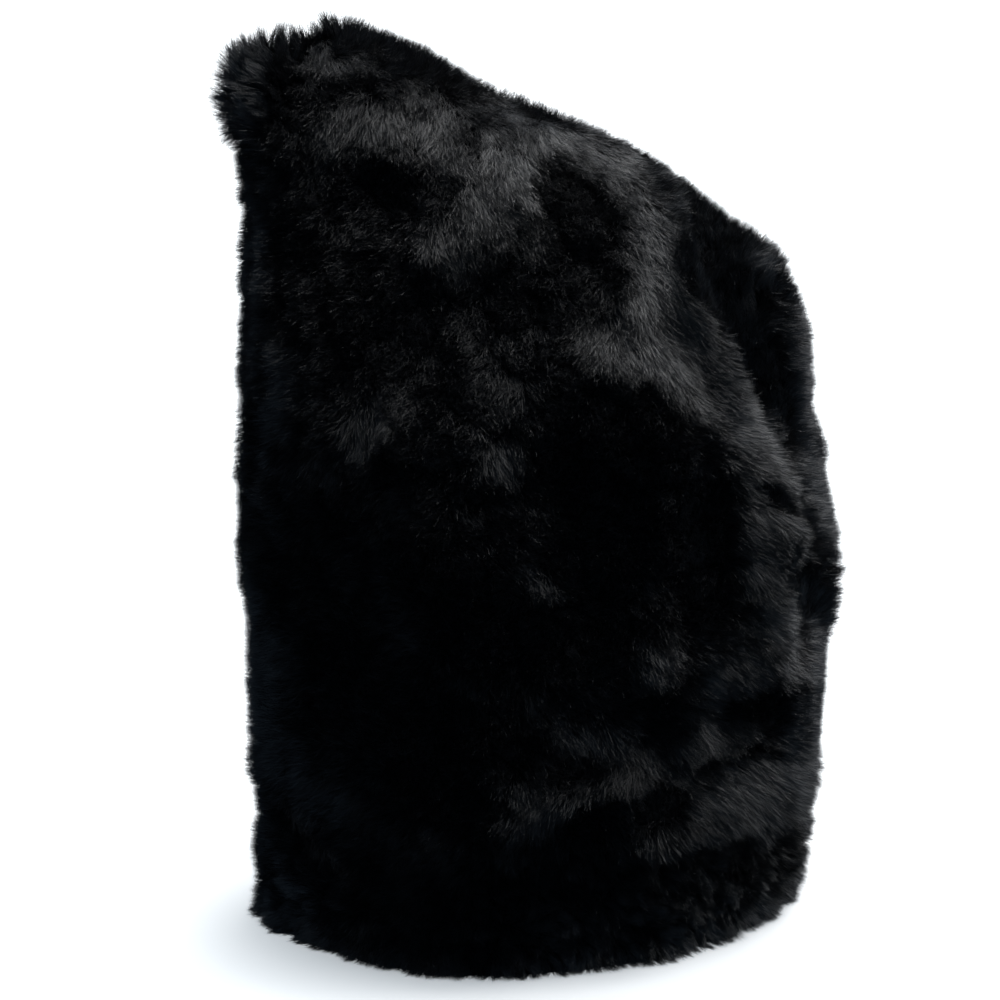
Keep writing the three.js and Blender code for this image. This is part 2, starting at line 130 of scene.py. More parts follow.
@dataclass(frozen=True)
class Shot:
    """Where the photograph was taken from, and how far it sees.

    Places are in metres, the elevation in degrees, the sensor's width in
    millimetres, and the rest in pixels of the frame.
    """

    distance: float = 1.5
    elevation: float = 15.0
    target: Triple = (0.0, 0.0, 0.192)
    target_pixel: Pair = (533.0, 455.0)
    focal_pixels: float = 3658.5
    frame_pixels: float = 1000.0
    sensor: float = 36.0
    sight: float = 30.0

    def place(self) -> Vector:
        """Where the camera stands."""
        rise = math.radians(self.elevation)
        return Vector(self.target) + Vector((0.0, -math.cos(rise), math.sin(rise))) * self.distance

    def pixels(self, points: np.ndarray, side: Side) -> np.ndarray:
        """Where points fall in the frame, seen from the front or, mirrored, from behind.

        Args:
            points: places in metres, one a row.
            side: the side that is looked at.

        Returns:
            Two pixel coordinates a row, across and down.
        """
        rise = math.radians(self.elevation)
        flipped = points * np.array([1.0, -float(side.value), 1.0])
        off = flipped - np.array(self.place())
        ahead = np.array([0.0, math.cos(rise), -math.sin(rise)])
        up = np.array([0.0, math.sin(rise), math.cos(rise)])
        depth = off @ ahead
        across = self.target_pixel[0] + self.focal_pixels * off[:, 0] / depth
        down = self.target_pixel[1] - self.focal_pixels * (off @ up) / depth
        return np.stack([across, down], axis=1)

    def build(self) -> None:
        """Makes the scene's camera."""
        data = bpy.data.cameras.new("camera")
        data.sensor_width = self.sensor
        data.lens = self.focal_pixels * self.sensor / self.frame_pixels
        data.shift_x = 0.5 - self.target_pixel[0] / self.frame_pixels
        data.shift_y = self.target_pixel[1] / self.frame_pixels - 0.5
        data.clip_end = self.sight
        camera = added("camera", data)
        camera.location = self.place()
        camera.rotation_euler = (math.radians(90 - self.elevation), 0, 0)
        bpy.context.scene.camera = camera


class Channel:
    """One socket of a node tree, which adds, multiplies and mixes like a number."""

    def __init__(self, graph: "Nodes", socket: bpy.types.NodeSocket) -> None:
        """Wraps a socket of a node tree."""
        self.graph = graph
        self.socket = socket

    def _math(self, operation: str, *values: object) -> "Channel":
        """Adds one Math node on these values."""
        return self.graph.node("ShaderNodeMath", {"operation": operation}, dict(enumerate(values)))["Value"]

    def __add__(self, other: object) -> "Channel":
        """This plus another."""
        return self._math("ADD", self, other)

    __radd__ = __add__

    def __sub__(self, other: object) -> "Channel":
        """This less another."""
        return self._math("SUBTRACT", self, other)

    def __rsub__(self, other: object) -> "Channel":
        """Another less this."""
        return self._math("SUBTRACT", other, self)

    def __mul__(self, other: object) -> "Channel":
        """This times another."""
        return self._math("MULTIPLY", self, other)

    __rmul__ = __mul__

    def sine(self) -> "Channel":
        """The sine of this, in radians."""
        return self._math("SINE", self)

    def clamped(self) -> "Channel":
        """This held between 0 and 1."""
        return self._math("MAXIMUM", self._math("MINIMUM", self, 1.0), 0.0)

    def blend(self, low: tuple[float, ...], high: tuple[float, ...]) -> "Channel":
        """A colour from one to another as this goes from 0 to 1.

        Args:
            low: the colour at 0.
            high: the colour at 1.

        Returns:
            The mixed colour.
        """
        mix = self.graph.node(
            "ShaderNodeMix",
            {"data_type": "RGBA"},
            {"Factor": self, "A": (*low, 1.0), "B": (*high, 1.0)},
        )
        return mix["Result"]


class Outputs:
    """A node's outputs by name."""

    def __init__(self, graph: "Nodes", node: bpy.types.Node) -> None:
        """Keeps the node."""
        self.graph = graph
        self.made = node

    def __getitem__(self, name: str) -> Channel:
        """The enabled output of this name."""
        found = next(s for s in self.made.outputs if s.name == name and s.enabled)
        return Channel(self.graph, found)


class Nodes:
    """A node tree that nodes are added to with their settings and inputs."""

    def __init__(self, tree: bpy.types.NodeTree) -> None:
        """Keeps the tree."""
        self.tree = tree

    def node(self, kind: str, settings: dict | None = None, inputs: dict | None = None) -> Outputs:
        """Adds one node.

        Args:
            kind: the node's type.
            settings: its own settings, set first.
            inputs: values or channels for its sockets, by name or number.

        Returns:
            The node's outputs.
        """
        made = self.tree.nodes.new(kind)
        for key, value in (settings or {}).items():
            setattr(made, key, value)
        for key, value in (inputs or {}).items():
            self.feed(made, key, value)
        return Outputs(self, made)

    def feed(self, node: bpy.types.Node, key: object, value: object) -> None:
        """Sets or links one socket of a node.

        Args:
            node: the node.
            key: the socket's name or number.
            value: a value, or a channel to link.
        """
        if isinstance(key, int):
            socket = node.inputs[key]
        else:
            socket = next(s for s in node.inputs if s.name == key and s.enabled)
        if isinstance(value, Channel):
            self.tree.links.new(value.socket, socket)
        else:
            socket.default_value = value


class Graph(Nodes):
    """A material's node tree with its Principled shader."""

    def __init__(self, name: str) -> None:
        """Starts a material.

        Args:
            name: the material's name.
        """
        self.material = bpy.data.materials.new(name)
        self.material.use_nodes = True
        super().__init__(self.material.node_tree)
        self.shader = self.tree.nodes["Principled BSDF"]

    def place(self) -> Channel:
        """Where a point is on its object, in metres."""
        return self.node("ShaderNodeTexCoord")["Object"]

    def cloud(self, scale: float, detail: float = 2.0) -> Channel:
        """Adds smooth noise over the object.

        Args:
            scale: how many of its waves go to a metre.
            detail: how many finer layers lie over them.

        Returns:
            The noise, from 0 to 1.
        """
        inputs = {"Vector": self.place(), "Scale": scale, "Detail": detail}
        return self.node("ShaderNodeTexNoise", {}, inputs)["Fac"]

    def relief(self, height: Channel, strength: float, depth: float) -> Channel:
        """Adds a bump.

        Args:
            height: how high the surface stands, from 0 to 1.
            strength: how strongly it shows.
            depth: how deep it is, in metres.

        Returns:
            The bumped normal.
        """
        inputs = {"Strength": strength, "Distance": depth, "Height": height}
        return self.node("ShaderNodeBump", {}, inputs)["Normal"]

    def finish(self, **sockets: object) -> bpy.types.Material:
        """Feeds the shader and gives the material.

        Args:
            sockets: values or channels by socket name, with _ for a space.

        Returns:
            The finished material.
        """
        for key, value in sockets.items():
            self.feed(self.shader, key.replace("_", " "), value)
        return self.material


@dataclass(frozen=True)
class PileFinish:
    """Dyed black pile: nearly no colour of its own, and a soft shine along each hair."""

    deep: Triple = (0.0032, 0.0050, 0.0086)
    pale: Triple = (0.0056, 0.0060, 0.0070)
    rough: float = 0.48
    rough_spread: float = 0.10
    specular: float = 1.0
    patch: float = 22.0
    tone_share: float = 0.75
    patch_share: float = 0.5
    darker: float = 0.1

    def build(self, name: str) -> bpy.types.Material:
        """Makes the material.

        Args:
            name: the material's name.

        Returns:
            The material.
        """
        graph = Graph(name)
        cloud = graph.cloud(self.patch)
        tone = graph.node("ShaderNodeAttribute", {"attribute_name": "tone"})["Fac"]
        share = (tone * self.tone_share + cloud * self.patch_share - self.darker).clamped()
        return graph.finish(
            Base_Color=share.blend(self.deep, self.pale),
            Roughness=cloud * self.rough_spread + (self.rough - self.rough_spread / 2),
            Specular_IOR_Level=self.specular,
        )


@dataclass(frozen=True)
class UndercoatShadeFinish:
    """The shadowed foot of the pile, where light hardly comes."""

    # Near black, darker than the pile and the backing: painted shade at the foot of the pile.
    deep: Triple = (0.0006, 0.0006, 0.0008)
    pale: Triple = (0.0016, 0.0017, 0.0021)
    fuzz: float = 900.0
    fuzz_detail: float = 3.0
    fuzz_strength: float = 0.6
    fuzz_depth: float = 0.8 * MM
    rough: float = 0.85
    rough_spread: float = 0.1
    specular: float = 0.05

    def build(self, name: str) -> bpy.types.Material:
        """Makes the material.

        Args:
            name: the material's name.

        Returns:
            The material.
        """
        graph = Graph(name)
        fuzz = graph.cloud(self.fuzz, self.fuzz_detail)
        return graph.finish(
            Base_Color=fuzz.blend(self.deep, self.pale),
            Roughness=fuzz * self.rough_spread + self.rough,
            Normal=graph.relief(fuzz, self.fuzz_strength, self.fuzz_depth),
            Specular_IOR_Level=self.specular,
        )


@dataclass(frozen=True)
class BackingFinish:
    """The knitted back of the plush, which shows inside the hat."""

    dark: Triple = (0.004, 0.004, 0.0045)
    light: Triple = (0.016, 0.016, 0.018)
    stitch: float = 1500.0
    stitch_strength: float = 0.5
    stitch_depth: float = 0.4 * MM
    rough: float = 0.95
    smoother: float = 0.15
    specular: float = 0.2

    def build(self, name: str) -> bpy.types.Material:
        """Makes the material.

        Args:
            name: the material's name.

        Returns:
            The material.
        """
        graph = Graph(name)
        parts = graph.node("ShaderNodeSeparateXYZ", {}, {"Vector": graph.place()})
        around, along, up = ((parts[axis] * self.stitch).sine() for axis in "XYZ")
        # The product of the waves runs from -2 to 2, and is brought to 0 to 1.
        knit = ((around + along) * up * 0.25 + 0.5).clamped()
        return graph.finish(
            Base_Color=knit.blend(self.dark, self.light),
            Roughness=self.rough - knit * self.smoother,
            Normal=graph.relief(knit, self.stitch_strength, self.stitch_depth),
            Specular_IOR_Level=self.specular,
        )


@dataclass(frozen=True)
class FloorFinish:
    """White paper under and behind the hat, that glows a little less close to it.

    A painted shadow dims the glow inside an oval about the middle. Reach is where the glow starts to
    come back and where it is whole again, in the oval's own half sizes.
    """

    white: Triple = (0.62, 0.62, 0.62)
    shade: Triple = (0.60, 0.60, 0.60)
    grain: float = 3.0
    rough: float = 0.9
    rough_spread: float = 0.05
    specular: float = 0.1
    glow: Triple = (0.92, 0.97, 1.0)
    lift: float = 0.70
    # How much of the glow the painted shadow takes away at its darkest.
    painted_shadow_depth: float = 0.26
    reach: Pair = (0.96, 1.4)
    middle: Pair = (0.030, -0.020)
    half: Pair = (0.126, 0.102)

    def build(self, name: str) -> bpy.types.Material:
        """Makes the material.

        Args:
            name: the material's name.

        Returns:
            The material.
        """
        graph = Graph(name)
        grain = graph.cloud(self.grain)
        squeezed = graph.node("ShaderNodeMapping", {}, {
            "Vector": graph.place(),
            "Location": (-self.middle[0] / self.half[0], -self.middle[1] / self.half[1], 0.0),
            "Scale": (1 / self.half[0], 1 / self.half[1], 1.0),
        })["Vector"]
        apart = graph.node("ShaderNodeVectorMath", {"operation": "LENGTH"}, {"Vector": squeezed})["Value"]
        # Painted shadow: the glow is dimmer inside the oval and whole again outside it.
        start, whole = self.reach
        clear_of_painted_shadow = ((apart - start) * (1 / (whole - start))).clamped()
        dark = tuple(part * (self.lift - self.painted_shadow_depth) for part in self.glow)
        lit = tuple(part * self.lift for part in self.glow)
        return graph.finish(
            Base_Color=grain.blend(self.white, self.shade),
            Roughness=grain * self.rough_spread + self.rough,
            Specular_IOR_Level=self.specular,
            Emission_Color=clear_of_painted_shadow.blend(dark, lit),
            Emission_Strength=1.0,
        )


def unit(vectors: np.ndarray) -> np.ndarray:
    """Rows brought to length 1, very short ones left alone."""
    return vectors / np.maximum(np.linalg.norm(vectors, axis=1, keepdims=True), TINY)


def off_axis(vectors: np.ndarray, axes: np.ndarray) -> np.ndarray:
    """Rows with their part along these unit axes taken out."""
    return vectors - np.sum(vectors * axes, axis=1, keepdims=True) * axes


def scatter(cells: np.ndarray, seed: int) -> np.ndarray:
    """Three numbers from -1 to 1 for each whole-numbered cell, the same on every run.

    Args:
        cells: integer cells, one a row.
        seed: which set of numbers.

    Returns:
        Three numbers a row.
    """
    keep = np.uint64(BITS)
    stirred = (cells.astype(np.uint64) * np.array(STIR_AXES, np.uint64)).sum(axis=1)
    stirred = (stirred + np.uint64(seed) * np.uint64(STIR_SEED)) & keep
    out = []
    for turn in range(3):
        stirred = (stirred + np.uint64(STIR_TURN * (turn + 1))) & keep
        for shift, factor in STIR_STEPS:
            stirred ^= stirred >> np.uint64(shift)
            stirred = (stirred * np.uint64(factor)) & keep
        stirred ^= stirred >> np.uint64(STIR_LAST)
        out.append(stirred.astype(np.float64) / float(BITS) * 2 - 1)
    return np.stack(out, axis=1)


def drift(points: np.ndarray, scale: float, seed: int) -> np.ndarray:
    """Smooth noise over space, three values a point.

    Args:
        points: places in metres, one a row.
        scale: how wide its waves are, in metres.
        seed: which noise.

    Returns:
        Three numbers from -1 to 1 a row.
    """
    place = points / scale + CELL_OFFSET
    cell = np.floor(place)
    part = place - cell
    part = part * part * (3 - 2 * part)
    cell = cell.astype(np.int64)
    total = np.zeros_like(points)
    for corner in range(8):
        step = np.array([corner & 1, corner >> 1 & 1, corner >> 2 & 1])
        weight = np.prod(np.where(step, part, 1 - part), axis=1)
        total += weight[:, None] * scatter(cell + step, seed)
    return total


def tufts(points: np.ndarray, pitch: float, seed: int) -> tuple[np.ndarray, np.ndarray]:
    """The nearest tuft's middle for each point, in tufts that lie about a pitch apart.

    Args:
        points: places in metres, one a row.
        pitch: how far apart the tufts lie, in metres.
        seed: which set of tufts.

    Returns:
        The middle of each point's tuft, and three numbers from -1 to 1 that belong to the tuft.
    """
    place = points / pitch + CELL_OFFSET
    cell = np.floor(place).astype(np.int64)
    best = np.full(len(points), np.inf)
    middle = np.zeros_like(points)
    own = np.zeros_like(cell)
    for index in range(27):
        step = np.array([index % 3 - 1, index // 3 % 3 - 1, index // 9 - 1])
        near = cell + step
        spot = near + 0.5 + TUFT_PLAY * scatter(near, seed)
        gap = np.sum((place - spot) ** 2, axis=1)
        closer = gap < best
        best[closer] = gap[closer]
        middle[closer] = spot[closer]
        own[closer] = near[closer]
    return (middle - CELL_OFFSET) * pitch, scatter(own, seed + 1)


@dataclass(frozen=True)
class Stroke:
    """One stroke of a hand over the pile, and how it left the hair lying."""

    name: str
    across: float
    down: float
    long: float
    wide: float
    tilt: float
    heading: float
    out: float
    hold: float = 1.0
    crisp: float = 1.15
    lift: float = 0.0
    side: Side = Side.NEAR

    def strength(self, pixels: np.ndarray) -> np.ndarray:
        """How far the stroke took hold at each place of the frame.

        Args:
            pixels: places in the frame, one a row.

        Returns:
            One share from 0 to 1 a row.
        """
        turn = math.radians(self.tilt)
        right, up = pixels[:, 0] - self.across, self.down - pixels[:, 1]
        along = (right * math.cos(turn) + up * math.sin(turn)) / self.long
        beside = (up * math.cos(turn) - right * math.sin(turn)) / self.wide
        return self.hold * np.exp(-((along**2 + beside**2) ** self.crisp))

    def direction(self) -> np.ndarray:
        """The way the tips point.

        Returns:
            A unit direction in the hat's frame.
        """
        turn, out = math.radians(self.heading), math.radians(self.out)
        side = float(self.side.value)
        return np.array([-side * math.cos(turn) * math.cos(out), side * math.sin(out),
                         math.sin(turn) * math.cos(out)])


# Across and down are pixels of the frame, and long and wide half sizes there.
# Tilt is how the stroke's patch lies and heading the way the tips point, both
# in degrees from the right of the frame, anticlockwise; out is how many degrees
# the tips stand out of that side's plane. Hold is how much of the pile follows
# at the stroke's middle, crisp how sharply the stroke ends, and lift how much
# longer its hair stands. Later strokes lie over earlier ones.
STROKES = (
    Stroke("upper half, settled", 430, 230, 260, 200, -35, -80, 56, 0.34),
    Stroke("left side, settled", 275, 400, 50, 200, 0, -110, 57, 0.26),
    Stroke("right side, settled", 780, 560, 60, 220, 0, -30, 26, 0.12),
    Stroke("dark middle of the upper half", 385, 300, 92, 84, 0, 100, 75, 0.6),
    Stroke("ridge", 545, 110, 72, 34, -22, -35, 34, lift=0.1),
    Stroke("slope, upper", 614, 152, 52, 26, -38, -35, 34, lift=0.1),
    Stroke("slope, lower", 656, 214, 56, 30, -55, -40, 40, 0.9, lift=0.15),
    Stroke("slope, foot", 658, 256, 44, 28, -60, -45, 45),
    Stroke("dark patch under the ridge", 572, 200, 56, 38, -40, 100, 70, 0.85, lift=-0.15),
    Stroke("dark patch, lower", 545, 284, 72, 34, 0, 100, 70, 0.9),
    Stroke("upper left patch", 362, 122, 50, 36, 5, -95, 59, lift=0.12),
    Stroke("upper left patch, right end", 428, 116, 46, 40, 0, -85, 60, lift=0.12),
    Stroke("upper left patch, curl", 440, 160, 36, 18, -30, -60, 53, 0.8, lift=0.3),
    Stroke("upper left patch, foot", 325, 165, 36, 32, 60, -100, 59, 0.65),
    Stroke("dark patch, left", 396, 192, 68, 38, -14, 100, 75, 0.95, 1.3, lift=-0.15),
    Stroke("fork, head", 520, 140, 48, 34, 35, -70, 56),
    Stroke("fork, arm", 490, 188, 50, 36, 50, -65, 55, lift=0.15),
    Stroke("fork, foot", 448, 232, 50, 22, 35, -60, 53, lift=0.3),
    Stroke("fork, tips", 466, 265, 26, 20, -40, -60, 53, 0.7),
    Stroke("fork, right tine", 530, 215, 20, 46, -10, -80, 59, 0.6),
    Stroke("near lobe, foot", 592, 338, 48, 24, 10, -130, 57, 0.65),
    Stroke("near lobe, shoulder", 650, 330, 74, 48, -28, -78, 59, lift=0.35),
    Stroke("near lobe, under the shoulder", 700, 396, 56, 24, -42, -80, 59, 0.6),
    Stroke("near lobe, crest, top", 664, 276, 48, 24, -50, -50, 48, lift=0.3),
    Stroke("near lobe, crest", 708, 342, 84, 28, -55, -26, 22, 1.0, lift=0.35),
    Stroke("near lobe, crest, lower", 760, 426, 64, 26, -55, -12, 0, 0.95, lift=0.3),
    Stroke("near lobe, behind the crest", 692, 346, 46, 28, -50, -42, 41, 0.95, lift=0.35),
    Stroke("hollow, upper", 730, 258, 68, 50, -60, 90, 40, 1.0, 2.8, lift=-0.2),
    Stroke("hollow, lower", 764, 364, 98, 27, -64, 90, 40, 1.0, 3.0, lift=-0.2),
    Stroke("far bank of the hollow", 806, 384, 92, 13, -83, -5, -14, 0.75),
    Stroke("dark left of the folds", 708, 545, 88, 40, 88, 100, 60, 0.95, 3.2, lift=-0.15),
    Stroke("right fold, top", 762, 474, 30, 28, -20, -40, 40, 0.85, lift=0.3),
    Stroke("right fold, shoulder", 782, 526, 46, 34, 10, -34, 32, lift=0.4),
    Stroke("right fold, middle", 770, 580, 36, 28, 20, -42, 41, lift=0.3),
    Stroke("crease between the folds", 802, 556, 8, 40, -24, 90, 30, 0.9, lift=-0.4),
    Stroke("crease over the folds", 780, 490, 48, 8, -40, 90, 30, 0.95, lift=-0.4),
    Stroke("notch under the fold", 760, 604, 14, 9, 0, 90, 40, 0.9, lift=-0.3),
    Stroke("right fold, tail", 783, 622, 18, 30, 0, -20, 12, 0.85, lift=0.3),
    Stroke("right edge, upper", 826, 500, 14, 52, 5, 0, -23, 0.8),
    Stroke("pocket in the right side", 812, 600, 20, 42, 0, 90, 30, 1.0, 2.4, lift=-0.4),
    Stroke("fold under the pocket", 788, 662, 58, 26, 10, -42, 41, lift=0.25),
    Stroke("right edge strip", 822, 668, 10, 72, 0, 0, -23, 0.9),
    Stroke("dark between the folds", 778, 712, 42, 22, 14, 90, 40, 0.95, 2.0, lift=-0.3),
    Stroke("fold line, right", 706, 740, 66, 15, 19, -50, 47, lift=0.8),
    Stroke("dark under the fold line", 735, 762, 56, 10, 14, 95, 50, 0.95, 1.6, lift=-0.4),
    Stroke("strip over the slump", 804, 735, 16, 44, 0, -15, 4, 0.8),
    Stroke("slump roll", 754, 796, 78, 36, 8, -34, 32, 1.0, 1.8, lift=0.6),
    Stroke("slump roll, right end", 802, 786, 32, 28, 20, -20, 12, 0.85, lift=0.2),
    Stroke("left lump, right edge", 676, 772, 30, 13, -25, -50, 46, 0.8, lift=0.4),
    Stroke("left lump, left edge", 622, 778, 24, 14, 30, -140, 55, 0.75, lift=0.35),
    Stroke("left lump, core", 662, 812, 30, 26, 0, 90, 50, 1.0, 1.8, lift=-0.3),
    Stroke("left lump, foot", 650, 848, 34, 12, 20, -100, 57, 0.6, lift=0.3),
    Stroke("tongue line", 553, 813, 56, 12, 24, -140, 55, 0.95, lift=0.4),
    Stroke("fold over the hem roll", 590, 738, 48, 19, -14, -50, 47, lift=0.6),
    Stroke("small crescent, low middle", 655, 663, 36, 20, 32, -50, 48, 0.85, lift=0.3),
    Stroke("small tuft, left", 360, 422, 24, 32, -55, -75, 58, lift=0.4),
    Stroke("dim patch, left", 312, 470, 30, 50, 80, -80, 57, 0.5),
    Stroke("swirl, foot", 504, 462, 28, 28, 20, -60, 53, 0.85, lift=0.3),
    Stroke("swirl, arc", 508, 398, 40, 54, 20, -100, 59, 0.4),
    Stroke("swirl, top", 472, 335, 38, 20, -20, -90, 61, 0.32),
    Stroke("glint in the middle", 540, 582, 24, 14, 0, -60, 53, 0.9, lift=0.3),
    Stroke("wisps, low middle", 468, 684, 34, 10, -10, -120, 57, 0.75, lift=0.3),
    Stroke("left edge, upper", 248, 240, 100, 13, -84, 180, 23, 0.9),
    Stroke("left edge, lower", 278, 370, 34, 15, -50, 180, 23, 0.55),
    Stroke("hem, left line", 294, 825, 38, 10, -62, -45, 45, lift=0.5),
    Stroke("hem, left line, lower", 330, 866, 32, 10, -50, -45, 45, lift=0.5),
    Stroke("hem, left dim", 362, 925, 24, 28, 0, -80, 58, 0.5, lift=0.2),
    Stroke("band, right mottle", 772, 868, 52, 50, 0, -120, 57, 0.5),
    Stroke("band, right mottle, inner", 682, 890, 52, 44, 0, -60, 53, 0.4),
    Stroke("peak, lit lump", 315, 38, 18, 18, 0, -60, 53, 0.9),
    Stroke("peak, lit fold", 352, 56, 34, 11, 10, -60, 53, 0.85),
    Stroke("peak corner", 236, 75, 26, 38, 0, 130, 5),
    Stroke("low end of the ridge", 768, 252, 26, 20, -45, 35, 0),
    Stroke("far half, settled", 430, 330, 260, 260, -35, -80, 20, 0.34, side=Side.FAR),
    Stroke("far shoulder", 650, 320, 90, 44, -30, -50, 36, 0.7, lift=0.15, side=Side.FAR),
    Stroke("far shoulder, foot", 600, 372, 60, 26, -10, -80, 50, 0.5, side=Side.FAR),
    Stroke("far patch", 400, 170, 84, 50, 20, -95, 52, 0.8, lift=0.12, side=Side.FAR),
    Stroke("far patch, foot", 330, 240, 40, 60, 10, -110, 55, 0.5, side=Side.FAR),
    Stroke("far ridge", 560, 128, 90, 34, -30, -35, 20, 0.8, side=Side.FAR),
    Stroke("far swirl", 470, 480, 66, 56, 30, -60, 40, 0.7, lift=0.15, side=Side.FAR),
    Stroke("far swirl, tail", 540, 550, 70, 22, -30, -70, 45, 0.5, side=Side.FAR),
    Stroke("far slump roll", 740, 780, 80, 30, 10, -20, 10, 0.8, lift=0.3, side=Side.FAR),
    Stroke("far fold", 560, 700, 80, 18, 20, -150, 40, 0.8, lift=0.5, side=Side.FAR),
    Stroke("far left line", 310, 830, 60, 12, -50, -60, 40, 0.7, lift=0.5, side=Side.FAR),
    Stroke("far edge", 790, 560, 26, 110, 0, -10, 0, 0.6, side=Side.FAR),
    Stroke("far peak corner", 236, 75, 26, 38, 0, 130, 5, side=Side.FAR),
)


@dataclass(frozen=True)
class Growth:
    """A place where the pile is longer or shorter, or stuck together in locks.

    Place and reach are in metres. Stuck is how tightly its tufts draw together,
    from 0 to 1, and longer the share of its length that a hair gains or loses.
    """

    name: str
    place: Triple
    reach: float
    stuck: float = 0.0
    longer: float = 0.0

    def share(self, points: np.ndarray) -> np.ndarray:
        """How far each point lies within this place.

        Args:
            points: places on the cloth, one a row.

        Returns:
            Shares from 0 to 1.
        """
        apart = (points - np.array([self.place])) / self.reach
        return np.exp(-np.sum(apart**2, axis=1))


GROWTHS = (
    Growth("peak corner", (-0.120, -0.010, 0.342), 0.022, 0.9, 0.5),
    Growth("peak corner, top", (-0.106, 0.000, 0.356), 0.018, 0.9, 0.6),
    Growth("peak top", (-0.085, 0.000, 0.368), 0.014, 0.5, 0.2),
    Growth("ridge, first", (-0.050, 0.000, 0.371), 0.020, 0.0, -0.28),
    Growth("ridge, second", (-0.018, 0.000, 0.354), 0.026, 0.0, -0.32),
    Growth("ridge, third", (0.018, 0.000, 0.335), 0.026, 0.0, -0.32),
    Growth("ridge, fourth", (0.055, 0.000, 0.315), 0.024, 0.1, -0.25),
    Growth("low end of the ridge", (0.096, 0.000, 0.268), 0.018, 1.0, 0.25),
    Growth("right side, upper", (0.114, 0.000, 0.205), 0.016, 0.5, -0.12),
    Growth("right side", (0.126, 0.000, 0.142), 0.016, 0.9, 0.5),
    Growth("left side", (-0.120, 0.000, 0.230), 0.060, 0.0, -0.15),
    Growth("hem, right", (0.075, -0.065, 0.008), 0.036, 1.0, 0.35),
    Growth("hem, low end", (0.112, 0.010, 0.022), 0.036, 0.9, 0.3),
    Growth("hem, front", (0.010, -0.095, 0.004), 0.030, 0.6, 0.1),
    Growth("hem, left", (-0.095, -0.050, 0.006), 0.026, 0.5, -0.2),
)


@dataclass
class Nap:
    """How the pile lies: nearly on end, a little lifted, but for the strokes of the table.

    Scales and the height of the hem that turns down are in metres, the fray of
    the strokes' edges is in pixels, and the rest are shares of a unit direction.
    """

    shot: Shot
    strokes: tuple[Stroke, ...]
    lifted: float = 0.14
    wander: float = 0.34
    wander_scale: float = 0.024
    ruffle: float = 0.16
    ruffle_scale: float = 0.008
    fray: float = 9.0
    fray_scale: float = 0.010
    fine_fray: float = 0.7
    fine_fray_scale: float = 0.004
    side_start: float = 0.9
    side_slope: float = 3.0
    hem: float = 0.014
    hem_out: float = 0.8
    flattest: float = 0.06
    stiffness: float = 1.4
    uneven: float = 0.08
    uneven_scale: float = 0.012

    def lay(self, points: np.ndarray, normals: np.ndarray) -> tuple[np.ndarray, np.ndarray]:
        """The way each hair points, and how much longer it grows.

        Args:
            points: places on the cloth, one a row.
            normals: the way the cloth faces there.

        Returns:
            Unit directions, one a row, and shares of length to add.
        """
        lift = np.zeros(len(points))
        way = normals + np.array([[0.0, 0.0, self.lifted]])
        way = unit(way + self.wander * drift(points, self.wander_scale, Seed.WANDER))
        shake = self.fray * (drift(points, self.fray_scale, Seed.FRAY_WIDE)
                             + self.fine_fray * drift(points, self.fine_fray_scale, Seed.FRAY_FINE))[:, :2]
        for side in Side:
            pixels = self.shot.pixels(points, side) + shake
            facing = np.clip(normals[:, 1] * side.value * self.side_slope + self.side_start, 0, 1)
            for stroke in (s for s in self.strokes if s.side is side):
                share = stroke.strength(pixels) * facing
                way += share[:, None] * (stroke.direction() - way)
                lift += share * (stroke.lift - lift)
        down = np.clip(1 - points[:, 2] / self.hem, 0, 1)[:, None]
        way += down * (unit(normals * self.hem_out + np.array([[0.0, 0.0, -1.0]])) - way)
        way = unit(way + self.ruffle * drift(points, self.ruffle_scale, Seed.RUFFLE))
        out = np.sum(way * normals, axis=1, keepdims=True)
        lift += self.uneven * drift(points, self.uneven_scale, Seed.UNEVEN)[:, 0]
        return unit(way + np.maximum(self.flattest - out, 0) * normals * self.stiffness), lift


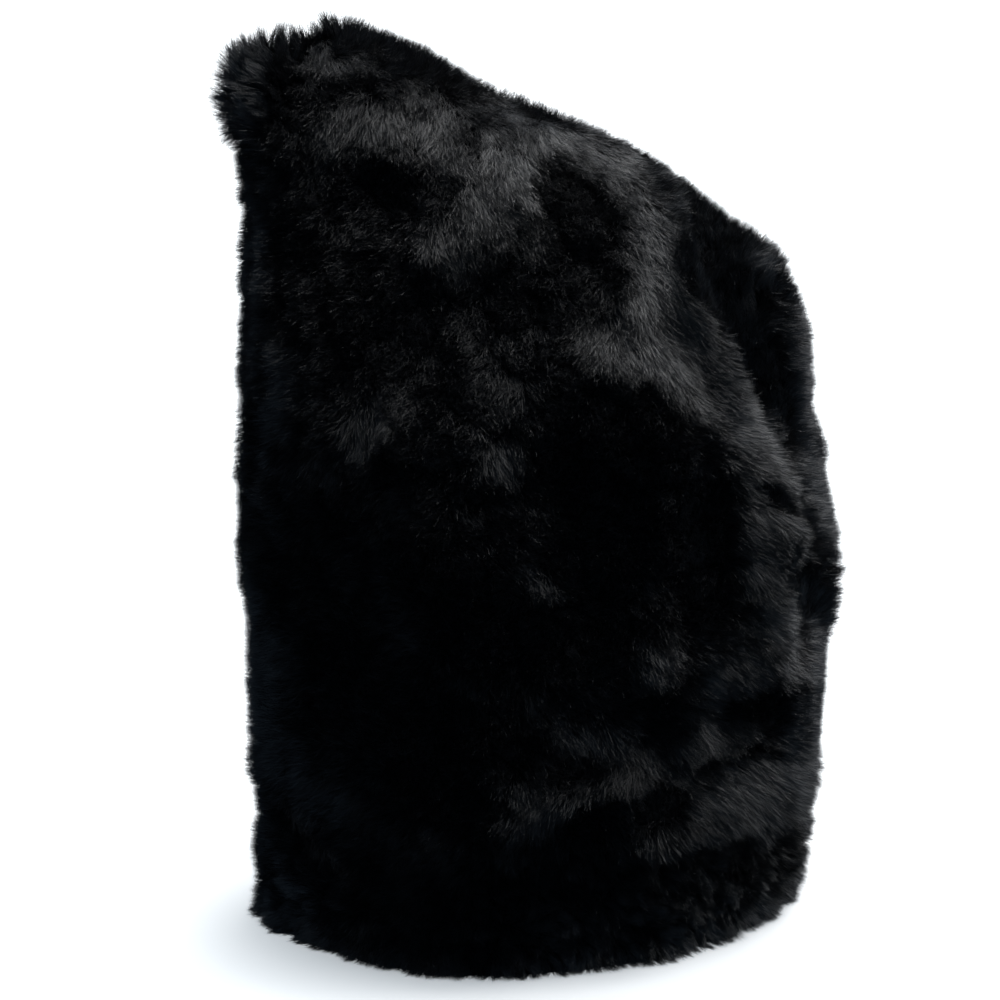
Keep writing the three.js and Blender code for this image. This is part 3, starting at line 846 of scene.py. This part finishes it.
@dataclass
class Form:
    """The hat's outside as one skin, gathered from all its solids.

    Points are the skin's vertices, and soft the same with the small relief
    smoothed away. Faces are triples of them, and owner is each face's solid.
    """

    names: tuple[str, ...]
    merge: float = 0.6 * MM
    smooth: int = 5
    pulls: Pair = (0.5, -0.52)
    normal_rounds: int = 3
    squarely: float = -0.3
    points: np.ndarray = field(init=False)
    soft: np.ndarray = field(init=False)
    normals: np.ndarray = field(init=False)
    faces: np.ndarray = field(init=False)
    owner: np.ndarray = field(init=False)

    # Where an eye inside the hollow would stand to see the whole lining.
    EYES = ((-0.01, 0.02, 0.1), (-0.005, -0.025, 0.17), (-0.035, 0.015, 0.235), (-0.05, -0.012, 0.275))

    def gather(self, nodes: dict[str, bpy.types.Object]) -> None:
        """Reads the solids and keeps their outer faces as one merged skin.

        Args:
            nodes: the frame's nodes by name.
        """
        whole = bmesh.new()
        owner = whole.faces.layers.int.new("owner")
        for index, name in enumerate(self.names):
            before = len(whole.faces)
            whole.from_mesh(nodes[name].data)
            whole.faces.ensure_lookup_table()
            for face in whole.faces[before:]:
                face[owner] = index
        bmesh.ops.remove_doubles(whole, verts=whole.verts, dist=SAME)
        bmesh.ops.delete(whole, geom=self.hidden(whole), context="FACES")
        bmesh.ops.remove_doubles(whole, verts=whole.verts, dist=self.merge)
        bmesh.ops.delete(whole, geom=self.loose(whole), context="FACES")
        whole.verts.ensure_lookup_table()
        whole.verts.index_update()
        self.points = np.array([v.co for v in whole.verts])
        self.faces = np.array([[v.index for v in f.verts] for f in whole.faces])
        self.owner = np.array([f[owner] for f in whole.faces])
        edges = np.array([[v.index for v in e.verts] for e in whole.edges])
        rim = np.array([v.is_boundary for v in whole.verts])
        whole.free()
        self.soft = self.relaxed(self.points, edges, rim)
        self.normals = self.facing(edges)

    def hidden(self, whole: bmesh.types.BMesh) -> list[bmesh.types.BMFace]:
        """Finds the faces that aren't on the outside.

        Args:
            whole: all the solids' faces.

        Returns:
            The lining's faces, and those that join it to the outside.
        """
        whole.faces.index_update()
        tree = BVHTree.FromBMesh(whole)
        lining = set()
        for face in whole.faces:
            middle = face.calc_center_median()
            for eye in map(Vector, self.EYES):
                look = middle - eye
                if face.normal.dot(look) < self.squarely * look.length:
                    hit = tree.ray_cast(eye, look.normalized(), look.length + MM)
                    if hit[2] == face.index:
                        lining.update(face.verts)
                        break
        return [f for f in whole.faces if any(v in lining for v in f.verts)]

    @staticmethod
    def loose(whole: bmesh.types.BMesh) -> list[bmesh.types.BMFace]:
        """Finds the faces that no path over the skin joins to its outermost one.

        Args:
            whole: the skin's faces.

        Returns:
            The faces apart.
        """
        start = max(whole.faces, key=lambda f: abs(f.calc_center_median().y))
        reached, edge = {start}, [start]
        while edge:
            near = {f for e in edge.pop().edges for f in e.link_faces} - reached
            reached |= near
            edge += near
        return [f for f in whole.faces if f not in reached]

    def relaxed(self, points: np.ndarray, edges: np.ndarray, rim: np.ndarray) -> np.ndarray:
        """The skin with its small relief smoothed away and its size kept.

        Args:
            points: the skin's vertices.
            edges: pairs of them.
            rim: which of them are on the skin's open edge.

        Returns:
            The smoothed vertices.
        """
        out = points.copy()
        alike = rim[edges[:, 0]] == rim[edges[:, 1]]
        for _ in range(self.smooth):
            for pull in self.pulls:
                out += pull * (self.mean(out, edges, rim, alike) - out)
        return out

    @staticmethod
    def mean(values: np.ndarray, edges: np.ndarray, rim: np.ndarray, alike: np.ndarray) -> np.ndarray:
        """The mean of each vertex's neighbours, for the open edge of those on it alone.

        Args:
            values: what is averaged, one row a vertex.
            edges: pairs of vertices.
            rim: which vertices are on the open edge.
            alike: which edges join two of those, or two others.

        Returns:
            The means, one row a vertex.
        """
        total, count = np.zeros_like(values), np.zeros(len(values))
        for a, b in ((0, 1), (1, 0)):
            use = alike | ~rim[edges[:, a]]
            np.add.at(total, edges[use, a], values[edges[use, b]])
            np.add.at(count, edges[use, a], 1)
        return np.where(count[:, None] > 0, total / np.maximum(count, 1)[:, None], values)

    def facing(self, edges: np.ndarray) -> np.ndarray:
        """The way the smoothed skin faces at each vertex.

        Args:
            edges: pairs of vertices.

        Returns:
            Unit directions, one a row.
        """
        a, b, c = (self.soft[self.faces[:, k]] for k in range(3))
        flat = np.cross(b - a, c - a)
        normals = np.zeros_like(self.soft)
        for k in range(3):
            np.add.at(normals, self.faces[:, k], flat)
        normals = unit(normals)
        for _ in range(self.normal_rounds):
            total = normals.copy()
            np.add.at(total, edges[:, 0], normals[edges[:, 1]])
            np.add.at(total, edges[:, 1], normals[edges[:, 0]])
            normals = unit(total)
        return normals


@dataclass
class Coat:
    """The pile of one panel, in joined strands.

    A pull is how far a tip is drawn to the middle of its tuft or lock, a lean how
    far a tuft's hair all leans one way, and a tone how light a strand's colour is.
    Those named for the snarl grow with how tightly the hair is stuck together.
    Round is how many degrees the facing of a strand's edges turns aside.
    """

    form: Form
    nap: Nap
    panel: int
    strands: int
    pieces: int
    length: float = 7.0 * MM
    tuft_length: float = 0.08
    hair_length: float = 0.12
    length_range: Pair = (0.5, 1.4)
    longer_range: Pair = (-0.34, 0.8)
    width: float = 0.235 * MM
    width_range: Pair = (0.7, 1.3)
    root: float = 4.6 * MM
    bend: float = 0.35
    round: float = 55.0
    roll: float = 0.55
    lowest: float = 0.05
    stray: float = 0.21
    snarl_stray: float = -0.5
    tuft_pitch: float = 4.2 * MM
    tuft_lean: float = 0.12
    snarl_lean: float = 0.45
    tuft_pull: float = 0.22
    snarl_pull: float = 0.72
    lock_pitch: float = 15.0 * MM
    lock_lean: float = 0.06
    lock_pull: float = 0.10
    snarl_lock_pull: float = 0.25
    tone: float = 0.45
    tuft_tone: float = 0.25
    hair_tone: float = 0.22
    relief: float = 0.5
    near_share: float = 1.6
    near_limit: float = 0.15
    floor: float = 0.2 * MM

    # A strand's corners in its own cell of the OFBake map.
    CELL = ((0.15, 0.1), (0.85, 0.1), (0.5, 0.9))

    def roots(self, rng: np.random.Generator) -> tuple[np.ndarray, np.ndarray]:
        """Spreads the strands' roots evenly over the panel.

        Args:
            rng: where the random numbers come from.

        Returns:
            Places on the outer surface and the way it faces there.
        """
        form = self.form
        faces = form.faces[form.owner == self.panel]
        mixed = form.soft + (form.points - form.soft) * self.relief
        a, b, c = (mixed[faces[:, k]] for k in range(3))
        area = np.linalg.norm(np.cross(b - a, c - a), axis=1)
        near = form.normals[faces].mean(axis=1)[:, 1] < self.near_limit
        share = np.cumsum(area * np.where(near, self.near_share, 1.0))
        spots = (np.arange(self.strands) + rng.random(self.strands)) / self.strands * share[-1]
        chosen = np.minimum(np.searchsorted(share, spots), len(faces) - 1)
        u, v = rng.random(self.strands), rng.random(self.strands)
        over = u + v > 1
        u[over], v[over] = 1 - u[over], 1 - v[over]
        weights = np.stack([1 - u - v, u, v], axis=1)[:, :, None]
        corners = faces[chosen]
        points = (mixed[corners] * weights).sum(axis=1)
        normals = unit((form.normals[corners] * weights).sum(axis=1))
        return points, normals

    def growth(self, skin: np.ndarray) -> tuple[np.ndarray, np.ndarray]:
        """How the table of growths changes the pile.

        Args:
            skin: places on the outer surface, one a row.

        Returns:
            How tightly the hair is stuck, and its share of length gained, both in columns.
        """
        shares = np.stack([place.share(skin) for place in GROWTHS], axis=1)
        snarl = np.clip(shares @ np.array([place.stuck for place in GROWTHS]), 0, 1)
        longer = np.clip(shares @ np.array([place.longer for place in GROWTHS]), *self.longer_range)
        return snarl[:, None], longer[:, None]

    def grow(self, rng: np.random.Generator) -> tuple[np.ndarray, np.ndarray, np.ndarray]:
        """Works out each strand's corners.

        Args:
            rng: where the random numbers come from.

        Returns:
            Corners (strand, corner, xyz), the way each corner faces, and tones from 0 to 1.
        """
        skin, normals = self.roots(rng)
        middle, own = tufts(skin, self.tuft_pitch, Seed.TUFT)
        lock, lock_own = tufts(skin, self.lock_pitch, Seed.LOCK)
        snarl, longer = self.growth(skin)
        lie, lift = self.nap.lay(skin, normals)
        lean = (self.tuft_lean + self.snarl_lean * snarl) * own + self.lock_lean * lock_own
        way = unit(lie + lean + self.stray * (1 + self.snarl_stray * snarl) * rng.normal(size=skin.shape))
        out = np.sum(way * normals, axis=1, keepdims=True)
        way = unit(way + np.maximum(self.lowest - out, 0) * normals)
        reach = 1 + self.tuft_length * own[:, 1] + self.hair_length * rng.normal(size=len(skin))
        reach = self.length * reach.clip(*self.length_range)[:, None] * (1 + longer + lift[:, None])
        start = skin - normals * self.root
        tip = start + way * reach
        pull = self.tuft_pull + (self.snarl_pull - self.tuft_pull) * snarl
        tip += off_axis(middle - skin, normals) * pull
        tip += off_axis(lock - skin, normals) * (self.lock_pull + self.snarl_lock_pull * snarl)
        for end in (start, tip):
            end[:, 2] = np.maximum(end[:, 2], self.floor)
        corners, facing = self.blades(rng, start, tip, normals, unit(off_axis(way, normals)))
        tone = self.tone + self.tuft_tone * own[:, 2] + self.hair_tone * rng.normal(size=len(skin))
        return corners, facing, np.clip(tone, 0, 1)

    def blades(self, rng: np.random.Generator, start: np.ndarray, tip: np.ndarray, normals: np.ndarray,
               along: np.ndarray) -> tuple[np.ndarray, np.ndarray]:
        """Gives each strand its width, and turns the way its corners face as on a round hair.

        Args:
            rng: where the random numbers come from.
            start: the strands' roots, one a row.
            tip: their tips.
            normals: the way the cloth faces at each.
            along: the way each lies over the cloth, which its tip bends towards.

        Returns:
            Corners (strand, corner, xyz), and the way each corner faces.
        """
        axis = unit(tip - start)
        face = unit(normals + self.roll * rng.normal(size=start.shape))
        face = unit(off_axis(face, axis))
        side = np.cross(axis, face)
        thin, thick = self.width_range
        half = self.width / 2 * (thin + (thick - thin) * rng.random(len(start)))[:, None]
        turn = math.radians(self.round)
        ahead, aside = face * math.cos(turn), side * math.sin(turn)
        last = unit(off_axis(face, unit(axis + along * self.bend)))
        corners = np.stack([start - side * half, start + side * half, tip], axis=1)
        return corners, np.stack([ahead - aside, ahead + aside, last], axis=1)

    def build(self, name: str, slot: str, finish: bpy.types.Material, seed: int) -> list[bpy.types.Object]:
        """Makes the panel's pile as a few joined meshes.

        Args:
            name: the start of their names.
            slot: the record's slot for the panel; not used.
            finish: their material.
            seed: where the random numbers start.

        Returns:
            The pieces.
        """
        corners, facing, tone = self.grow(np.random.default_rng(seed))
        order = np.argsort(corners[:, 0, 0], kind="stable")
        made = []
        for number, part in enumerate(np.array_split(order, self.pieces)):
            title = f"{name}_{number + 1}"
            made.append(self.mesh(title, corners[part], facing[part], tone[part], finish))
        return made

    def mesh(self, name: str, corners: np.ndarray, facing: np.ndarray, tone: np.ndarray,
             finish: bpy.types.Material) -> bpy.types.Object:
        """Joins strands into one mesh.

        Args:
            name: the piece's name.
            corners: each strand's three corners.
            facing: the way each corner faces, as on a round hair.
            tone: each strand's tone.
            finish: the material.

        Returns:
            The piece.
        """
        count = len(corners)
        mesh = bpy.data.meshes.new(name)
        mesh.vertices.add(count * 3)
        mesh.vertices.foreach_set("co", corners.astype(np.float32).ravel())
        mesh.loops.add(count * 3)
        mesh.loops.foreach_set("vertex_index", np.arange(count * 3, dtype=np.int32))
        mesh.polygons.add(count)
        mesh.polygons.foreach_set("loop_start", np.arange(count, dtype=np.int32) * 3)
        mesh.update(calc_edges=True)
        mesh.shade_smooth()
        mesh.normals_split_custom_set_from_vertices(facing.reshape(-1, 3))
        tones = mesh.attributes.new("tone", "FLOAT", "POINT")
        tones.data.foreach_set("value", np.repeat(tone, 3).astype(np.float32))
        wide = int(math.ceil(math.sqrt(count)))
        cell = np.arange(count)
        corner = np.stack([cell % wide, cell // wide], axis=1)[:, None, :]
        spots = (corner + np.array(self.CELL)) / wide
        layer = mesh.uv_layers.new(name="OFBake")
        layer.data.foreach_set("uv", spots.astype(np.float32).ravel())
        mesh.materials.append(finish)
        return added(name, mesh)


@dataclass
class Shell:
    """The cloth of one panel: its solid, cut back outside to where the pile is rooted."""

    form: Form
    node: bpy.types.Object
    cut: float = 4.4 * MM
    near: float = 0.7 * MM
    floor: float = 0.2 * MM

    def build(self, name: str, slot: str, undercoat_shade: bpy.types.Material,
              backing: bpy.types.Material) -> bpy.types.Object:
        """Makes the shell and lets it stand for its node.

        Args:
            name: the piece's name.
            slot: the record's slot for the panel; not used.
            undercoat_shade: the material of its outside, painted near black as shade.
            backing: the material of its inside.

        Returns:
            The piece.
        """
        shell = bmesh.new()
        shell.from_mesh(self.node.data)
        bmesh.ops.remove_doubles(shell, verts=shell.verts, dist=SAME)
        tree = KDTree(len(self.form.points))
        for index, point in enumerate(self.form.points):
            tree.insert(point, index)
        tree.balance()
        for vert in shell.verts:
            _, index, gap = tree.find(vert.co)
            if gap < self.near:
                vert.co = Vector(self.form.soft[index] - self.form.normals[index] * self.cut)
                vert.co.z = max(vert.co.z, self.floor)
                vert.tag = True
        for face in shell.faces:
            face.material_index = 0 if all(v.tag for v in face.verts) else 1
            face.smooth = True
        mesh = bpy.data.meshes.new(name)
        shell.to_mesh(mesh)
        shell.free()
        mesh.materials.append(undercoat_shade)
        mesh.materials.append(backing)
        piece = added(name, mesh)
        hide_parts(self.node.name)
        return piece


@dataclass(frozen=True)
class Panel:
    """One sewn panel of the hat, as the table of panels names it."""

    node: str
    slot: str
    title: str
    strands: int
    pieces: int


PANELS = (
    Panel("left_crown_panel", "left_crown_fur", "left_crown", 390000, 2),
    Panel("right_crown_panel", "right_crown_fur", "right_crown", 370000, 2),
    Panel("headband", "headband_fur", "headband", 190000, 1),
)


@dataclass
class Hat:
    """The whole hat."""

    frame: dict
    shot: Shot
    strokes: tuple[Stroke, ...] = STROKES
    panels: tuple[Panel, ...] = PANELS
    first_seed: int = 40

    def build(self) -> list[bpy.types.Object]:
        """Makes every panel's cloth and pile.

        Returns:
            The pieces.
        """
        nodes = self.frame["nodes"]
        form = Form(tuple(p.node for p in self.panels))
        form.gather(nodes)
        log.info("outside: %d vertices, %d faces", len(form.points), len(form.faces))
        nap = Nap(self.shot, self.strokes)
        pile = PileFinish().build("black_pile")
        # The foot of the pile is painted near black as shade.
        undercoat_shade = UndercoatShadeFinish().build("pile_foot_painted_shade")
        backing = BackingFinish().build("knitted_backing")
        made = []
        for index, panel in enumerate(self.panels):
            shell = Shell(form, nodes[panel.node])
            cloth = shell.build(f"{panel.title}_cloth", panel.slot, undercoat_shade, backing)
            coat = Coat(form, nap, index, panel.strands, panel.pieces)
            pieces = coat.build(f"{panel.title}_pile", panel.slot, pile, self.first_seed + index)
            for piece in (cloth, *pieces):
                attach(piece, "root")
            made += [cloth, *pieces]
        return made


def hang(light: bpy.types.Light, place: Triple, aim: Triple) -> None:
    """Hangs a light in the scene.

    Args:
        light: the light.
        place: where it hangs.
        aim: what it shines on.
    """
    lamp = added(light.name, light)
    lamp.location = place
    lamp.rotation_euler = (Vector(aim) - Vector(place)).to_track_quat("-Z", "Y").to_euler()


@dataclass(frozen=True)
class Sky:
    """A light so large and far that it falls evenly on the paper.

    Way is the direction that it hangs in, spread how wide it looks from the hat
    in degrees, and strength how much falls on a square metre, in watts.
    """

    name: str
    way: Triple
    spread: float
    strength: float

    def build(self) -> None:
        """Makes the light."""
        light = bpy.data.lights.new(self.name, "SUN")
        light.angle = math.radians(self.spread)
        light.energy = self.strength
        hang(light, self.way, (0.0, 0.0, 0.0))


@dataclass(frozen=True)
class SoftBox:
    """A lamp with a broad face, its places and sizes in metres."""

    name: str
    place: Triple
    size: Pair
    watts: float
    aim: Triple = (0.0, 0.0, 0.2)

    def build(self) -> None:
        """Makes the lamp."""
        light = bpy.data.lights.new(self.name, "AREA")
        light.shape = "RECTANGLE"
        light.size, light.size_y = self.size
        light.energy = self.watts
        hang(light, self.place, self.aim)


@dataclass(frozen=True)
class Surroundings:
    """White behind the hat for the eye, and dim for everything else."""

    dim: Triple = (0.58, 0.84, 1.16)
    dim_strength: float = 0.17
    white: Triple = (0.985, 0.985, 0.985)

    def build(self) -> None:
        """Makes the world."""
        world = bpy.data.worlds.new("studio")
        bpy.context.scene.world = world
        world.use_nodes = True
        world.node_tree.nodes.clear()
        nodes = Nodes(world.node_tree)
        inputs = {0: nodes.node("ShaderNodeLightPath")["Is Camera Ray"]}
        for number, colour, strength in ((1, self.dim, self.dim_strength), (2, self.white, 1.0)):
            light = nodes.node("ShaderNodeBackground", {}, {"Color": (*colour, 1.0), "Strength": strength})
            inputs[number] = light["Background"]
        mixed = nodes.node("ShaderNodeMixShader", {}, inputs)["Shader"]
        nodes.node("ShaderNodeOutputWorld", {}, {"Surface": mixed})


@dataclass(frozen=True)
class Studio:
    """White paper, a large soft light above and behind, and a strip at either side."""

    floor: float = 6.0
    cells: int = 4
    lights: tuple[Sky | SoftBox, ...] = (
        Sky("overhead", (0.26, 0.22, 1.0), 42.0, 4.6),
        SoftBox("right_strip", (1.3, 0.2, 0.8), (0.35, 1.0), 8.0),
        SoftBox("left_strip", (-1.4, 0.2, 0.6), (0.3, 1.0), 0.8),
    )

    def build(self) -> None:
        """Makes the floor, the lights and the surroundings."""
        plane = bmesh.new()
        bmesh.ops.create_grid(plane, x_segments=self.cells, y_segments=self.cells, size=self.floor)
        mesh = bpy.data.meshes.new("paper")
        plane.to_mesh(mesh)
        plane.free()
        mesh.materials.append(FloorFinish().build("white_paper_painted_shadow"))
        paper = added("paper", mesh)
        # The pile drinks in what the paper throws back, so the paper lights nothing.
        paper.visible_glossy = False
        paper.visible_diffuse = False
        for light in self.lights:
            light.build()
        Surroundings().build()
        view = bpy.context.scene.view_settings
        view.view_transform = "Standard"
        view.look = "None"


def main() -> None:
    """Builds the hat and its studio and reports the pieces."""
    logging.basicConfig(level=logging.INFO, format="%(name)s: %(message)s")
    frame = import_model()
    shot = Shot()
    shot.build()
    for piece in Hat(frame, shot).build():
        log.info("%s: %d faces", piece.name, len(piece.data.polygons))
    Studio().build()


if __name__ == "__main__":
    main()
